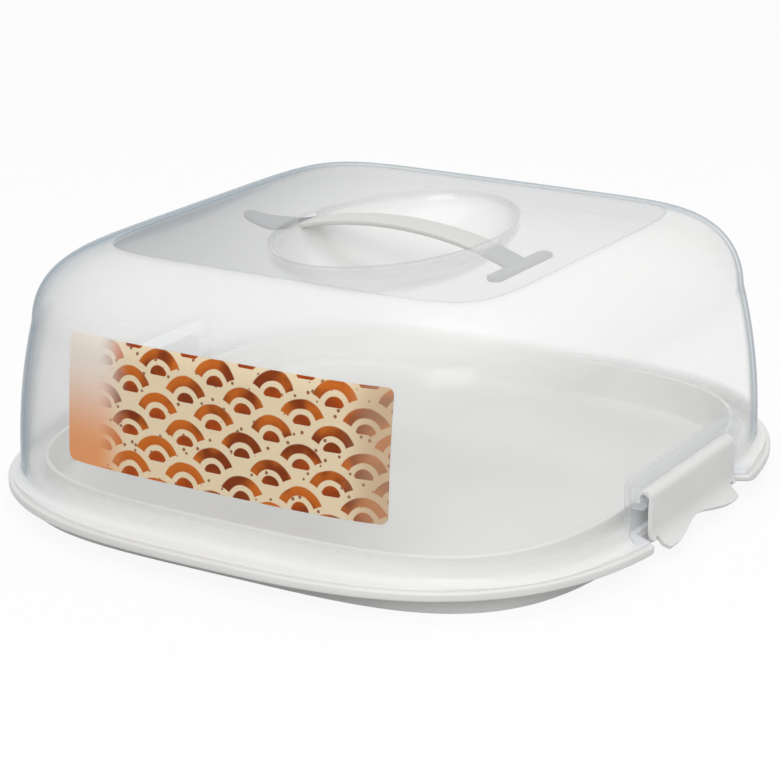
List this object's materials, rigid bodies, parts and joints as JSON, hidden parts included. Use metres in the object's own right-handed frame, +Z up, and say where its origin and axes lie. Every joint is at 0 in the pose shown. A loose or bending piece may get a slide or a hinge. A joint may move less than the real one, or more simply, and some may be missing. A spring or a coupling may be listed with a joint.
{
  "type": "cake carrier",
  "caption": "Cake carrier with a clear domed lid, side clips that hold it to a flat reversible tray, and a strap handle in a sunken bowl on top.",
  "frame": {"origin": "middle of the plane that the tray's foot ring stands on", "axes": "+X towards the right clip, +Y away from the front label, +Z up through the dome"},
  "size_m": [0.3318, 0.345, 0.129],
  "materials": {
    "tray_plastic": "satin moulded white",
    "clear_plastic": "milky clear moulding, polished",
    "clip_plastic": "satin moulded white",
    "strap_plastic": "satin moulded white, flexible",
    "printed_label": null
  },
  "bodies": {
    "tray": {"base_tray": "tray_plastic"},
    "lid": {"lid": "clear_plastic", "front_label": "printed_label"},
    "right_clip": {"right_clip": "clip_plastic"},
    "left_clip": {"left_clip": "clip_plastic"},
    "handle": {"carry_handle": "strap_plastic"}
  },
  "joints": [
    {"name": "lid_lift", "type": "slide", "parent": "tray", "child": "lid", "axis": [0, 0, 1], "range_m": [0, 0.15]},
    {"name": "right_clip_hinge", "type": "hinge", "parent": "lid", "child": "right_clip", "pos_m": [0.15515, 0, 0.0309], "axis": [0, -1, 0], "range_deg": [0, 105]},
    {"name": "left_clip_hinge", "type": "hinge", "parent": "lid", "child": "left_clip", "pos_m": [-0.15515, 0, 0.0309], "axis": [0, 1, 0], "range_deg": [0, 105]},
    {"name": "handle_lift", "type": "slide", "parent": "lid", "child": "handle", "axis": [0, 0, 1], "range_m": [0, 0.0018]}
  ]
}
